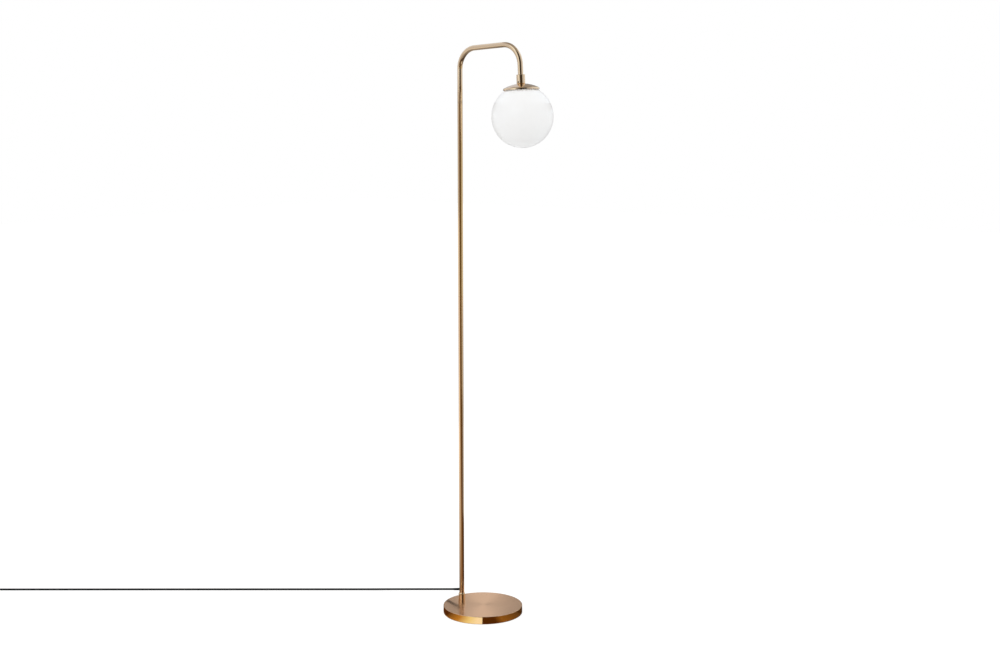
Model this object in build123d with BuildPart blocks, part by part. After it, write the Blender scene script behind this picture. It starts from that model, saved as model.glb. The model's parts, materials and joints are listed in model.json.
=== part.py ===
from build123d import *
from math import cos, pi, radians, sin, sqrt, tan
import os

# A globe floor lamp, in millimetres, +Z up. The origin is the centre of the base's underside, on the
# floor, and the arm points along +X. The arm rises a little, and everything below its free end
# leans out by the same angle, because the second bend is a right angle.

# ---------------------------------------------------------------- driving dimensions
# base
base_diameter = 203.0
base_height = 19.5
cover_wall = 1.2
cover_edge = 0.9
rim_gap = 0.5
pad_inset = 6.5
pad_thickness = 1.5
weight_clearance = 0.4

# pole and arm
pole_inset = 29.5
tube_diameter = 13.0
tube_wall = 1.0
arm_height = 1430.7
arm_length = 190.0
arm_rise = 3.4
bend_radius = 50.0
seam_height = 815.0
seam_chamfer = 0.25

# fits: a sliding gap, a thread's gap, and the gap round a cord
slide_gap = 0.1
thread_gap = 0.05
cord_gap = 0.05

# foot
bolt_radius = 4.0
bolt_length = 25.0
bolt_head_width = 13.0
bolt_head_height = 5.3
bolt_chamfer = 0.8
bolt_clearance = 0.3
recess_radius = 15.0
recess_depth = 10.0
washer_radius = 12.0
washer_thickness = 1.6
lock_washer_radius = 7.0
lock_washer_thickness = 2.0
collar_radius = 8.6
collar_height = 18.0
collar_shoulder = 5.0
collar_lip = 0.3
collar_floor = 2.0
foot_bush_length = 14.0

# joint between the two tubes
joint_thread_radius = 4.5
joint_thread_length = 14.0
joint_bush_length = 16.0
joint_body_length = 14.0
joint_bore = 3.0

# head, with heights above the centre of the globe, along the leaning axis
globe_drop = 175.2
coupler_radius = 10.4
coupler_height = 22.0
coupler_socket = 10.0
coupler_web = 3.0
coupler_chamfer = 0.6
coupler_foot_round = 1.6
web_bore = 3.6
grub_radius = 2.0
grub_key = 2.0
grub_key_depth = 1.5
lower_grub_height = 4.0
upper_grub_height = 17.0
grub_inset = 0.5

cap_radius = 44.0
cap_rim_height = 64.2
cap_top_height = 78.5
cap_seat_radius = 11.0
cap_crown_radius = 90.0
cap_knuckle = 4.0
cap_wall = 1.0
nipple_radius = 5.0
nipple_bore = 3.5
nipple_top_gap = 1.0
nipple_length = 25.0
nipple_clearance = 0.2

clip_thickness = 0.8
clip_width = 10.0
clip_count = 3
clip_bow = 0.9
clip_leaf = 10.0
clip_gap = 0.3
nut_width = 14.0
nut_height = 3.0

globe_radius = 75.0
glass_thickness = 2.8
neck_bore = 37.2
neck_wall = 2.8
neck_top = 67.7
gasket_thickness = 0.6

# lampholder
holder_radius = 18.5
holder_wall = 1.8
holder_boss_radius = 8.0
holder_boss_height = 3.5
holder_dome_height = 10.0
holder_cap_height = 24.0
holder_shell_radius = 19.5
holder_shell_height = 29.0
holder_shell_bore = 15.3
holder_shell_round = 1.0
core_radius = 16.3
core_height = 12.0
core_step = 3.0
core_lead_gap = 1.0
sleeve_radius = 14.1
sleeve_wall = 0.5
sleeve_length = 23.0
terminal_radius = 1.6
terminal_height = 3.0
terminal_spacing = 16.0
terminal_slot = 0.6
tongue_width = 6.0
tongue_length = 11.0
tongue_thickness = 0.5
tongue_drop = 1.5

# bulb
bulb_cap_radius = 13.0
bulb_cap_wall = 0.4
bulb_cap_length = 19.0
bulb_insulator_height = 2.6
bulb_contact_radius = 4.5
bulb_contact_height = 1.0
bulb_neck_radius = 13.6
bulb_neck_length = 17.0
bulb_glass_radius = 22.5
bulb_glass_wall = 1.0
bulb_seam_drop = 14.0
led_board_radius = 15.0
led_board_thickness = 1.6

# cord
cord_diameter = 5.0
exit_height = 45.6
exit_droop = 11.6
exit_bend = 5.5
exit_reach = 35.0
boot_length = 21.0
boot_flange_radius = 3.8
boot_flange = 1.0
boot_root_radius = 3.2
boot_tip_radius = 2.8
boot_neck_radius = 3.0
run_heading = 39.9

# foot switch, in the line of the cord's straight stretch, which rises to it over a short way
switch_distance = 1024.0
lift_start = 28.0
lift_end = 11.0
switch_length = 58.0
switch_width = 42.0
switch_corner = 13.0
switch_split = 9.6
switch_top = 19.0
switch_wall = 2.0
switch_top_edge = 3.0
switch_cord_height = 5.4
pad_height = 0.8
pad_radius = 4.0
pad_spacing = (36.0, 22.0)
relief_length = 18.0
relief_root_radius = 4.2
relief_tip_radius = 3.0
button_radius = 10.0
button_gap = 0.3
button_rise = 3.5
button_flange = 1.5
button_flange_height = 1.5
button_rest_gap = 0.1
button_edge = 1.2
block_length = 24.0
block_width = 20.0
block_height = 6.6
block_chamfer = 1.5
switch_spring_radius = 5.0
switch_spring_wire = 0.7
switch_spring_turns = 3
screw_radius = 1.5
screw_head_radius = 2.8
screw_head_height = 1.6
screw_length = 12.0
screw_offset = 16.5

# coil, tie and plug, with the straight cord at each end of the stretches beside the coil
tail_length = 30.0
tail_straight = 9.0
lead_length = 24.0
lead_straight = 7.0
coil_inner_radius = 21.0
coil_pitch = 5.5
coil_lift = 0.9
coil_turns = 3.5
tie_width = 4.0
tie_thickness = 0.7
tie_gap = 0.2
plug_length = 38.0
plug_width = 35.0
plug_thickness = 13.6
plug_corner = 4.8
plug_back = (17.0, 11.0)
plug_back_corner = 4.4
plug_shoulder = 24.0
pin_radius = 2.0
pin_core_radius = 1.65
pin_tip_round = 1.2
pin_length = 19.0
pin_sleeve_length = 10.0
pin_root = 8.0
pin_spacing = 18.6

# ---------------------------------------------------------------- derived places
pole_offset = base_diameter / 2 - pole_inset
pole_radius = tube_diameter / 2
bore_radius = pole_radius - tube_wall
cord_radius = cord_diameter / 2
pole_foot = base_height + collar_floor
rise = radians(arm_rise)

out_along_arm = Vector(cos(rise), 0, sin(rise))
down_head = Vector(sin(rise), 0, -cos(rise))
pole_top = Vector(-pole_offset, 0, arm_height)
arm_end = pole_top + out_along_arm * arm_length
globe_centre = arm_end + down_head * globe_drop

coupler_bottom = cap_top_height
coupler_top = coupler_bottom + coupler_height
socket_floor = coupler_top - coupler_socket
web_floor = socket_floor - coupler_web
tube_end = globe_centre - down_head * socket_floor

# Section planes hold half an outline: local X is a radius, local Y a height.
pole = Plane(origin=(-pole_offset, 0, 0), x_dir=(1, 0, 0), z_dir=(0, -1, 0))
head = Plane(origin=globe_centre, x_dir=out_along_arm, z_dir=(0, -1, 0))
head_level = Plane(origin=globe_centre, x_dir=out_along_arm, z_dir=-down_head)

droop = radians(exit_droop)
exit_corner = Vector(-pole_offset, 0, exit_height)
exit_way = Vector(-cos(droop), 0, -sin(droop))
cord_exit = Plane(origin=exit_corner, x_dir=(-sin(droop), 0, cos(droop)), z_dir=(0, -1, 0))
boot_start = pole_radius / cos(droop)
boot_tip = boot_start + boot_length
boot_end = exit_corner + exit_way * boot_tip

# The free cord's route: down from the pole to the floor in one slow curve, then straight.
on_floor = cord_radius
landing = Vector(-353, -60, on_floor)
way = radians(run_heading)
floor_run = Plane(origin=(landing.X, landing.Y, 0), x_dir=(-cos(way), -sin(way), 0), z_dir=(0, 0, 1))

switch_start = switch_distance + relief_length
switch_centre = switch_start + switch_length / 2
switch_end = switch_start + switch_length
tail_start = switch_end + relief_length
coil_start = tail_start + tail_length
switch_frame = Plane(origin=floor_run.from_local_coords((switch_centre, 0, 0)), x_dir=floor_run.x_dir)

coil_centre_x = coil_start + cord_diameter
coil_outer_radius = coil_inner_radius + coil_pitch * coil_turns / 2
coil_low = coil_lift + cord_radius
coil_high = coil_low + coil_pitch
plug_line = 2 * coil_outer_radius
plug_axis = plug_thickness / 2
plug_tip = coil_start - lead_length
plug_body_start = plug_tip - relief_length

pieces = {}


# ---------------------------------------------------------------- helpers
def outline(plane, *points):
    """A closed straight-sided outline on a plane."""
    with BuildSketch(plane) as area:
        with BuildLine():
            Polyline(*points, close=True)
        make_face()
    return area.sketch


def barrel(plane, radius, bottom, top, bore=0.0):
    """Half the section of a round piece, solid or bored."""
    return outline(plane, (bore, bottom), (radius, bottom), (radius, top), (bore, top))


def axis_of(plane):
    """The axis that a section plane's outlines turn about."""
    return Axis(plane.origin, plane.y_dir)


def bend_radii(points):
    """The radius at each corner of a route: 0.45 of its shorter run, over the tangent of half the turn."""
    radii = []
    for before, corner, after in zip(points, points[1:], points[2:]):
        shorter = min((corner - before).length, (after - corner).length)
        half_turn = radians((corner - before).get_angle(after - corner)) / 2
        radii.append(0.45 * shorter / tan(half_turn))
    return radii


def report_tube(name, part, length):
    """Prints a tube's volume against its section times its length."""
    expected = pi * cord_radius**2 * length
    print(f"{name}: length {length:.1f} mm, volume over section times length {part.volume / expected:.4f}")


def stations(frame, radius_at, height_at, start_angle, turns):
    """Places and directions along a winding about a frame's Z axis, one each quarter of a turn."""
    found = []
    step = 1e-4
    for quarter in range(int(4 * turns) + 1):
        near = []
        for turned in (quarter / 4 - step, quarter / 4, quarter / 4 + step):
            angle = start_angle + 2 * pi * turned
            radius = radius_at(turned)
            place = (radius * cos(angle), radius * sin(angle), height_at(turned))
            near.append(frame.from_local_coords(place))
        found.append((near[1], (near[2] - near[0]).normalized()))
    return found


def biarc(start, start_way, end, end_way):
    """Two arcs that leave start along start_way and reach end along end_way."""
    chord = end - start
    both = start_way + end_way
    spread = 2 * (1 - start_way.dot(end_way))
    along = chord.dot(both)
    reach = (sqrt(along**2 + spread * chord.dot(chord)) - along) / spread
    first = start + start_way * reach
    last = end - end_way * reach
    middle = (first + last) * 0.5
    TangentArc(start, middle, tangent=start_way)
    TangentArc(middle, end, tangent=middle - first)


def least_gap(path, diameter, samples=420):
    """The least gap between a wound tube's turns, measured between points along its centre line."""
    points = [path.position_at(n / samples) for n in range(samples + 1)]
    apart = int(samples * 4 * diameter / path.length) + 1
    return min(
        (points[a] - points[b]).length
        for a in range(samples + 1)
        for b in range(a + apart, samples + 1)
    ) - diameter


# ---------------------------------------------------------------- base
cover_inside = base_height - cover_wall
weight_radius = base_diameter / 2 - cover_wall - weight_clearance
recess_roof = pad_thickness + recess_depth
foot_centre = (-pole_offset, 0)

with BuildPart() as base_cover:
    with BuildSketch(Plane.XY.offset(rim_gap)):
        Circle(base_diameter / 2)
    extrude(amount=base_height - rim_gap)
    fillet(base_cover.edges().filter_by(GeomType.CIRCLE).sort_by(Axis.Z)[-1], cover_edge)
    with BuildSketch(Plane.XY.offset(rim_gap)):
        Circle(base_diameter / 2 - cover_wall)
    extrude(amount=cover_inside - rim_gap, mode=Mode.SUBTRACT)
    with BuildSketch(Plane.XY.offset(cover_inside)):
        with Locations(foot_centre):
            Circle(bolt_radius + bolt_clearance)
    extrude(amount=cover_wall, mode=Mode.SUBTRACT)
pieces["base_cover"] = base_cover

with BuildPart() as base_weight:
    with BuildSketch(Plane.XY.offset(pad_thickness)):
        Circle(weight_radius)
        with Locations(foot_centre):
            Circle(bolt_radius + bolt_clearance, mode=Mode.SUBTRACT)
    extrude(amount=cover_inside - pad_thickness)
    with BuildSketch(Plane.XY.offset(pad_thickness)):
        with Locations(foot_centre):
            Circle(recess_radius)
    extrude(amount=recess_depth, mode=Mode.SUBTRACT)
pieces["base_weight"] = base_weight

with BuildPart() as base_pad:
    with BuildSketch(Plane.XY):
        Circle(base_diameter / 2 - pad_inset)
        with Locations(foot_centre):
            Circle(recess_radius, mode=Mode.SUBTRACT)
    extrude(amount=pad_thickness)
pieces["base_pad"] = base_pad

# ---------------------------------------------------------------- foot
washer_bottom = recess_roof - washer_thickness
lock_bottom = washer_bottom - lock_washer_thickness
bolt_bore = bolt_radius + bolt_clearance

with BuildPart() as foot_washer:
    revolve(barrel(pole, washer_radius, washer_bottom, recess_roof, bolt_bore), axis=axis_of(pole))
pieces["foot_washer"] = foot_washer

with BuildPart() as foot_lock_washer:
    revolve(barrel(pole, lock_washer_radius, lock_bottom, washer_bottom, bolt_bore), axis=axis_of(pole))
pieces["foot_lock_washer"] = foot_lock_washer

with BuildPart() as foot_bolt:
    with BuildSketch(Plane.XY.offset(lock_bottom - bolt_head_height)):
        with Locations(foot_centre):
            RegularPolygon(bolt_head_width / 2, 6, major_radius=False)
    extrude(amount=bolt_head_height)
    with BuildSketch(Plane.XY.offset(lock_bottom)):
        with Locations(foot_centre):
            Circle(bolt_radius)
    extrude(amount=bolt_length)
    chamfer(foot_bolt.edges().filter_by(GeomType.CIRCLE).sort_by(Axis.Z)[-1], bolt_chamfer)
pieces["foot_bolt"] = foot_bolt

collar_top = base_height + collar_height
shoulder_start = collar_top - collar_shoulder
collar_bore = pole_radius + slide_gap

with BuildPart() as foot_collar:
    with BuildSketch(pole):
        with BuildLine():
            Polyline(
                (collar_bore + collar_lip, collar_top),
                (collar_bore, collar_top),
                (collar_bore, pole_foot),
                (bolt_bore, pole_foot),
                (bolt_bore, base_height),
                (collar_radius, base_height),
                (collar_radius, shoulder_start),
            )
            TangentArc(
                (collar_radius, shoulder_start),
                (collar_bore + collar_lip, collar_top),
                tangent=(0, 1),
            )
        make_face()
    revolve(axis=axis_of(pole))
pieces["foot_collar"] = foot_collar

with BuildPart() as foot_bush:
    bush_top = pole_foot + foot_bush_length
    revolve(
        barrel(pole, bore_radius - thread_gap, pole_foot, bush_top, bolt_radius + thread_gap),
        axis=axis_of(pole),
    )
pieces["foot_bush"] = foot_bush

# ---------------------------------------------------------------- pole and arm
with BuildPart() as lower_tube:
    revolve(barrel(pole, pole_radius, pole_foot, seam_height, bore_radius), axis=axis_of(pole))
    seam_edge = lower_tube.edges().filter_by(GeomType.CIRCLE).group_by(Axis.Z)[-1].sort_by(SortBy.RADIUS)[-1]
    chamfer(seam_edge, seam_chamfer)
    revolve(
        barrel(cord_exit, boot_neck_radius + slide_gap, 0, boot_start + tube_wall),
        axis=axis_of(cord_exit),
        mode=Mode.SUBTRACT,
    )
pieces["lower_tube"] = lower_tube

with BuildPart() as joint_bush:
    bush_bottom = seam_height - joint_bush_length
    revolve(
        barrel(pole, bore_radius - thread_gap, bush_bottom, seam_height, joint_thread_radius + thread_gap),
        axis=axis_of(pole),
    )
pieces["joint_bush"] = joint_bush

with BuildPart() as joint_stud:
    stud_bottom = seam_height - joint_thread_length
    stud_top = seam_height + joint_body_length
    revolve(barrel(pole, joint_thread_radius, stud_bottom, seam_height, joint_bore), axis=axis_of(pole))
    revolve(barrel(pole, bore_radius - thread_gap, seam_height, stud_top, joint_bore), axis=axis_of(pole))
pieces["joint_stud"] = joint_stud

with BuildPart() as arm_tube:
    with BuildLine() as arm_path:
        seam = (-pole_offset, 0, seam_height)
        FilletPolyline(seam, pole_top, arm_end, tube_end, radius=bend_radius)
    with BuildSketch(Plane.XY.offset(seam_height)):
        with Locations(foot_centre):
            Circle(pole_radius)
            Circle(bore_radius, mode=Mode.SUBTRACT)
    sweep(path=arm_path.wire())
    seam_edge = arm_tube.edges().filter_by(GeomType.CIRCLE).group_by(Axis.Z)[0].sort_by(SortBy.RADIUS)[-1]
    chamfer(seam_edge, seam_chamfer)
pieces["arm_tube"] = arm_tube

# ---------------------------------------------------------------- head
lower_grub = coupler_bottom + lower_grub_height
upper_grub = coupler_bottom + upper_grub_height

with BuildPart() as head_coupler:
    revolve(
        outline(
            head,
            (nipple_radius + thread_gap, coupler_bottom),
            (coupler_radius, coupler_bottom),
            (coupler_radius, coupler_top),
            (pole_radius + slide_gap, coupler_top),
            (pole_radius + slide_gap, socket_floor),
            (web_bore, socket_floor),
            (web_bore, web_floor),
            (nipple_radius + thread_gap, web_floor),
        ),
        axis=axis_of(head),
    )
    rims = head_coupler.edges().filter_by(GeomType.CIRCLE).group_by(SortBy.RADIUS)[-1].sort_by(Axis.Z)
    chamfer(rims[-1], coupler_chamfer)
    fillet(rims[0], coupler_foot_round)
    for height, side in ((lower_grub, -1), (upper_grub, 1)):
        spot = head_level.from_local_coords((0, 0, height))
        with BuildSketch(Plane(origin=spot, x_dir=out_along_arm, z_dir=(0, side, 0))):
            Circle(grub_radius + thread_gap)
        extrude(amount=coupler_radius, mode=Mode.SUBTRACT)
pieces["head_coupler"] = head_coupler

with BuildPart() as coupler_screws:
    for height, side, seat in ((lower_grub, -1, nipple_radius), (upper_grub, 1, pole_radius)):
        spot = head_level.from_local_coords((0, side * seat, height))
        screw_end = Plane(origin=spot, x_dir=out_along_arm, z_dir=(0, side, 0))
        with BuildSketch(screw_end):
            Circle(grub_radius)
        extrude(amount=coupler_radius - seat - grub_inset)
        with BuildSketch(screw_end.offset(coupler_radius - seat - grub_inset)):
            RegularPolygon(grub_key / 2, 6, major_radius=False)
        extrude(amount=-grub_key_depth, mode=Mode.SUBTRACT)
pieces["coupler_screws"] = coupler_screws

nipple_top = web_floor - nipple_top_gap
nipple_bottom = nipple_top - nipple_length

with BuildPart() as head_nipple:
    revolve(barrel(head, nipple_radius, nipple_bottom, nipple_top, nipple_bore), axis=axis_of(head))
pieces["head_nipple"] = head_nipple


def dome(inset):
    """Half the section under the cap's skin, moved in by inset: a flat seat, a crown and a knuckle."""
    crown = cap_crown_radius - inset
    rim = cap_radius - inset
    top = cap_top_height - inset
    drop = sqrt(crown**2 - cap_seat_radius**2) - sqrt(crown**2 - rim**2)
    with BuildSketch(head) as area:
        with BuildLine():
            Polyline(
                (rim, top - drop),
                (rim, cap_rim_height),
                (0, cap_rim_height),
                (0, top),
                (cap_seat_radius, top),
            )
            RadiusArc((cap_seat_radius, top), (rim, top - drop), crown)
        make_face()
        fillet(area.vertices().sort_by(Axis.X)[-2:].sort_by(Axis.Y)[-1], cap_knuckle - inset)
    return area.sketch


with BuildPart() as cap:
    revolve(dome(0.0), axis=axis_of(head))
    revolve(dome(cap_wall), axis=axis_of(head), mode=Mode.SUBTRACT)
    nipple_hole = nipple_radius + nipple_clearance
    revolve(
        barrel(head, nipple_hole, cap_rim_height, coupler_bottom),
        axis=axis_of(head),
        mode=Mode.SUBTRACT,
    )
pieces["cap"] = cap

hub_top = cap_top_height - cap_wall
hub_bottom = hub_top - clip_thickness
leaf_radius = neck_bore - clip_gap - clip_thickness / 2
leaf_bottom = neck_top - clip_leaf

with BuildPart() as globe_clips:
    hub_radius = cap_seat_radius - clip_thickness
    revolve(barrel(head, hub_radius, hub_bottom, hub_top, nipple_hole), axis=axis_of(head))
    for number in range(clip_count):
        radial = out_along_arm.rotate(axis_of(head), 360 / clip_count * number)
        with BuildSketch(Plane(origin=globe_centre, x_dir=radial, z_dir=radial.cross(-down_head))):
            with BuildLine():
                Polyline(
                    (cap_seat_radius - 2 * clip_thickness, hub_top - clip_thickness / 2),
                    (leaf_radius - 2 * clip_bow, neck_top + clip_thickness),
                    (leaf_radius - clip_bow, neck_top - clip_thickness),
                    (leaf_radius, neck_top - clip_leaf / 2),
                    (leaf_radius - 2 * clip_bow, leaf_bottom),
                )
            trace(line_width=clip_thickness)
        extrude(amount=clip_width / 2, both=True)
    revolve(barrel(head, nipple_hole, leaf_bottom, hub_top), axis=axis_of(head), mode=Mode.SUBTRACT)
pieces["globe_clips"] = globe_clips

nut_bottom = hub_bottom - nut_height

with BuildPart() as head_nut:
    with BuildSketch(head_level.offset(nut_bottom)):
        RegularPolygon(nut_width / 2, 6, major_radius=False)
        Circle(nipple_radius + thread_gap, mode=Mode.SUBTRACT)
    extrude(amount=nut_height)
pieces["head_nut"] = head_nut

neck_radius = neck_bore + neck_wall

with BuildPart() as glass_globe:
    with Locations(globe_centre):
        Sphere(globe_radius)
    neck_foot = sqrt(globe_radius**2 - neck_radius**2) - glass_thickness
    revolve(barrel(head, neck_radius, neck_foot, neck_top), axis=axis_of(head))
    revolve(
        barrel(head, neck_radius, neck_top, globe_radius + glass_thickness),
        axis=axis_of(head),
        mode=Mode.SUBTRACT,
    )
    with Locations(globe_centre):
        Sphere(globe_radius - glass_thickness, mode=Mode.SUBTRACT)
    revolve(barrel(head, neck_bore, 0, neck_top), axis=axis_of(head), mode=Mode.SUBTRACT)
pieces["glass_globe"] = glass_globe

with BuildPart() as neck_gasket:
    revolve(
        barrel(head, neck_radius - thread_gap, neck_top, neck_top + gasket_thickness, neck_bore),
        axis=axis_of(head),
    )
pieces["neck_gasket"] = neck_gasket

# ---------------------------------------------------------------- lampholder
holder_top = nut_bottom
holder_split = holder_top - holder_cap_height
holder_shoulder = holder_top - holder_boss_height - holder_dome_height
holder_inner = holder_radius - holder_wall
boss_bore = nipple_radius + thread_gap

with BuildPart() as holder_cap:
    with BuildSketch(head):
        with BuildLine():
            Polyline(
                (holder_boss_radius, holder_top - holder_boss_height),
                (holder_boss_radius, holder_top),
                (boss_bore, holder_top),
                (boss_bore, holder_top - holder_boss_height - holder_wall),
                (holder_boss_radius, holder_top - holder_boss_height - holder_wall),
                (holder_inner, holder_shoulder - holder_wall / 2),
                (holder_inner, holder_split),
                (holder_radius, holder_split),
                (holder_radius, holder_shoulder),
            )
            TangentArc(
                (holder_radius, holder_shoulder),
                (holder_boss_radius, holder_top - holder_boss_height),
                tangent=(0, 1),
            )
        make_face()
    revolve(axis=axis_of(head))
pieces["holder_cap"] = holder_cap

core_bottom = holder_split - core_step
core_top = core_bottom + core_height
shell_bottom = holder_split - holder_shell_height

with BuildPart() as holder_shell:
    revolve(
        outline(
            head,
            (holder_shell_bore, shell_bottom),
            (holder_shell_radius, shell_bottom),
            (holder_shell_radius, holder_split),
            (core_radius + slide_gap, holder_split),
            (core_radius + slide_gap, core_bottom),
            (holder_shell_bore, core_bottom),
        ),
        axis=axis_of(head),
    )
    fillet(holder_shell.edges().filter_by(GeomType.CIRCLE).group_by(SortBy.RADIUS)[-1], holder_shell_round)
pieces["holder_shell"] = holder_shell

with BuildPart() as holder_core:
    with BuildSketch(head_level.offset(core_bottom)):
        Circle(core_radius)
    extrude(amount=core_height)
    top_edge = holder_core.edges().filter_by(GeomType.CIRCLE).sort_by(Axis.Z)[-1]
    chamfer(top_edge, core_radius - holder_inner + core_lead_gap)
pieces["holder_core"] = holder_core

with BuildPart() as terminal_screws:
    with BuildSketch(head_level.offset(core_top)):
        with GridLocations(terminal_spacing, 0, 2, 1):
            Circle(terminal_radius)
            Rectangle(2 * terminal_radius, terminal_slot, mode=Mode.SUBTRACT)
    extrude(amount=terminal_height)
    with BuildSketch(head_level.offset(core_top)):
        with GridLocations(terminal_spacing, 0, 2, 1):
            Circle(terminal_radius)
    extrude(amount=terminal_height / 2)
pieces["terminal_screws"] = terminal_screws

with BuildPart() as screw_sleeve:
    revolve(
        barrel(head, sleeve_radius, core_bottom - sleeve_length, core_bottom, sleeve_radius - sleeve_wall),
        axis=axis_of(head),
    )
pieces["screw_sleeve"] = screw_sleeve

with BuildPart() as contact_tongue:
    with BuildSketch(head):
        with BuildLine():
            Polyline(
                (-tongue_length / 2, core_bottom - tongue_thickness / 2),
                (-tongue_length / 4, core_bottom - tongue_thickness / 2),
                (tongue_length / 4, core_bottom - tongue_drop),
                (tongue_length / 2, core_bottom - tongue_drop),
            )
        trace(line_width=tongue_thickness)
    extrude(amount=tongue_width / 2, both=True)
pieces["contact_tongue"] = contact_tongue

# ---------------------------------------------------------------- bulb
bulb_top = core_bottom - tongue_drop - tongue_thickness / 2
insulator_top = bulb_top - bulb_contact_height
bulb_cap_top = insulator_top - bulb_insulator_height
bulb_cap_bottom = bulb_cap_top - bulb_cap_length
bulb_seam = bulb_cap_bottom - bulb_neck_length
bulb_centre = bulb_seam - bulb_seam_drop
seam_radius = sqrt(bulb_glass_radius**2 - bulb_seam_drop**2)

with BuildPart() as bulb_cap:
    revolve(
        barrel(head, bulb_cap_radius, bulb_cap_bottom, bulb_cap_top, bulb_cap_radius - bulb_cap_wall),
        axis=axis_of(head),
    )
pieces["bulb_cap"] = bulb_cap

with BuildPart() as bulb_contact:
    revolve(
        outline(
            head,
            (0, bulb_cap_top),
            (bulb_cap_radius, bulb_cap_top),
            (bulb_contact_radius, insulator_top),
            (bulb_contact_radius, bulb_top),
            (0, bulb_top),
        ),
        axis=axis_of(head),
    )
pieces["bulb_contact"] = bulb_contact

with BuildPart() as bulb_housing:
    inner = bulb_neck_radius - bulb_glass_wall
    revolve(
        outline(
            head,
            (inner, bulb_cap_bottom),
            (bulb_neck_radius, bulb_cap_bottom),
            (seam_radius, bulb_seam),
            (seam_radius - 2 * bulb_glass_wall, bulb_seam),
        ),
        axis=axis_of(head),
    )
pieces["bulb_housing"] = bulb_housing

with BuildPart() as led_board:
    revolve(barrel(head, led_board_radius, bulb_seam, bulb_seam + led_board_thickness), axis=axis_of(head))
pieces["led_board"] = led_board

with BuildPart() as bulb_glass:
    with Locations(head_level.from_local_coords((0, 0, bulb_centre))):
        Sphere(bulb_glass_radius)
        Sphere(bulb_glass_radius - bulb_glass_wall, mode=Mode.SUBTRACT)
    revolve(barrel(head, bulb_glass_radius, bulb_seam, bulb_cap_top), axis=axis_of(head), mode=Mode.SUBTRACT)
pieces["bulb_glass"] = bulb_glass

# ---------------------------------------------------------------- cord
with BuildPart() as cord_boot:
    flange_end = boot_start + boot_flange
    revolve(
        outline(
            cord_exit,
            (0, 0),
            (boot_flange_radius, 0),
            (boot_flange_radius, flange_end),
            (boot_root_radius, flange_end),
            (boot_tip_radius, boot_tip),
            (0, boot_tip),
        ),
        axis=axis_of(cord_exit),
    )
    revolve(barrel(pole, pole_radius, 0, 2 * exit_height), axis=axis_of(pole), mode=Mode.SUBTRACT)
    revolve(barrel(cord_exit, boot_neck_radius, bore_radius, flange_end), axis=axis_of(cord_exit))
    revolve(
        barrel(cord_exit, cord_radius + cord_gap, 0, boot_tip),
        axis=axis_of(cord_exit),
        mode=Mode.SUBTRACT,
    )
pieces["cord_boot"] = cord_boot

with BuildPart() as inner_lead:
    with BuildLine() as lead_path:
        lead_end = head_level.from_local_coords((0, 0, core_top))
        FilletPolyline(
            boot_end,
            exit_corner,
            pole_top,
            arm_end,
            lead_end,
            radius=[exit_bend, bend_radius, bend_radius],
        )
    with BuildSketch(Plane(origin=boot_end, z_dir=-exit_way)):
        Circle(cord_radius)
    sweep(path=lead_path.wire())
    report_tube("inner lead", inner_lead.part, lead_path.wire().length)
pieces["inner_lead"] = inner_lead

cord_points = [
    boot_end,
    boot_end + exit_way * exit_reach,
    Vector(-191.5, -3, 21.8),
    Vector(-248.5, -13, 12.6),
    Vector(-303, -33, 6.3),
    landing,
    floor_run.from_local_coords((switch_distance - lift_start, 0, on_floor)),
    floor_run.from_local_coords((switch_distance - lift_end, 0, switch_cord_height)),
    floor_run.from_local_coords((switch_distance, 0, switch_cord_height)),
]
tail_points = [
    floor_run.from_local_coords((tail_start, 0, switch_cord_height)),
    floor_run.from_local_coords((tail_start + tail_straight, 0, switch_cord_height)),
    floor_run.from_local_coords((coil_start - tail_straight, 0, coil_low)),
    floor_run.from_local_coords((coil_start, 0, coil_low)),
]
lead_points = [
    floor_run.from_local_coords((coil_start, plug_line, coil_high)),
    floor_run.from_local_coords((coil_start - lead_straight, plug_line, coil_high)),
    floor_run.from_local_coords((plug_tip + lead_straight, plug_line, plug_axis)),
    floor_run.from_local_coords((plug_tip, plug_line, plug_axis)),
]

for name, points in (("cord_run", cord_points), ("cord_tail", tail_points), ("plug_lead", lead_points)):
    radii = bend_radii(points)
    print(f"{name}: bend radii", [round(radius) for radius in radii])
    with BuildPart() as tube:
        with BuildLine() as route:
            FilletPolyline(*points, radius=radii)
        with BuildSketch(Plane(origin=points[0], z_dir=points[1] - points[0])):
            Circle(cord_radius)
        sweep(path=route.wire())
        report_tube(name, tube.part, route.wire().length)
    pieces[name] = tube


def coil_radius(turned):
    """The coil's radius after so many turns: steadily in, then steadily out."""
    return coil_inner_radius + coil_pitch * abs(turned % coil_turns - coil_turns / 2)


def coil_height(turned):
    """The coil's height: the low layer, a climb in the middle half turn, and the high layer."""
    climbed = min(max(2 * turned - coil_turns + 0.5, 0), 1)
    return coil_low + (coil_high - coil_low) * climbed


coil_frame = Plane(
    origin=floor_run.from_local_coords((coil_centre_x, coil_outer_radius, 0)),
    x_dir=floor_run.x_dir,
)
with BuildPart() as cord_coil:
    with BuildLine() as coil_path:
        wound = stations(coil_frame, coil_radius, coil_height, -pi / 2, coil_turns)
        Line(tail_points[-1], wound[0][0])
        for here, there in zip(wound, wound[1:]):
            biarc(*here, *there)
        Line(wound[-1][0], lead_points[0])
    coil_wire = coil_path.wire()
    with BuildSketch(Plane(origin=coil_wire @ 0, z_dir=coil_wire % 0)):
        Circle(cord_radius)
    sweep(path=coil_wire)
    report_tube("cord_coil", cord_coil.part, coil_wire.length)
    print(f"cord_coil: least gap to itself {least_gap(coil_wire, cord_diameter):.2f} mm")
pieces["cord_coil"] = cord_coil

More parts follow.
